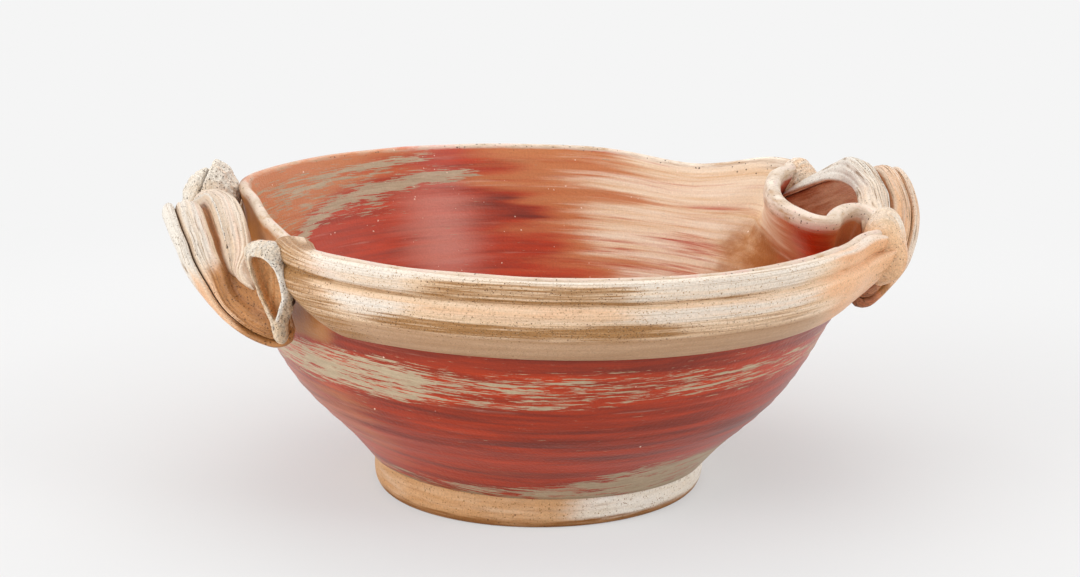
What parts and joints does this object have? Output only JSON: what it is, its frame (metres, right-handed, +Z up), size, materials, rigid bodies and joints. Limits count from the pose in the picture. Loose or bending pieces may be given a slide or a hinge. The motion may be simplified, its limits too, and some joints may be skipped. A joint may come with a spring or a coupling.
{
  "type": "two-handled serving bowl",
  "caption": "Wide thrown stoneware serving bowl on a foot ring, with a rolled collar outside the lip and ribbed strap handles arching out where the rim is pushed in for fingers.",
  "frame": {"origin": "middle of the outline on the table, under the bowl", "axes": "+X along the line through both handles, towards the right handle, and +Z up"},
  "size_m": [0.397, 0.3458, 0.1666],
  "materials": {
    "slip_glazed_stoneware": "satin brick-red slip under a thin salt glaze, brushed dry in bands",
    "bare_stoneware": "bare cream stoneware flashed orange by the fire",
    "salt_glazed_collar": "satin cream salt glaze, toasted and speckled brown",
    "salt_glazed_strap": "satin cream salt glaze, orange-brown in the grooves",
    "salt_glazed_fold": "satin white salt glaze with coarse grey speckle"
  },
  "bodies": {
    "root": {"bowl_body": "slip_glazed_stoneware", "foot_ring": "bare_stoneware", "front_collar": "salt_glazed_collar", "back_collar": "salt_glazed_collar", "left_outer_strap": "salt_glazed_strap", "left_inner_strap": "salt_glazed_strap", "left_front_ear": "salt_glazed_fold", "left_back_ear": "salt_glazed_fold", "right_outer_strap": "salt_glazed_strap", "right_inner_strap": "salt_glazed_strap", "right_front_ear": "salt_glazed_fold", "right_back_ear": "salt_glazed_fold"}
  },
  "joints": []
}
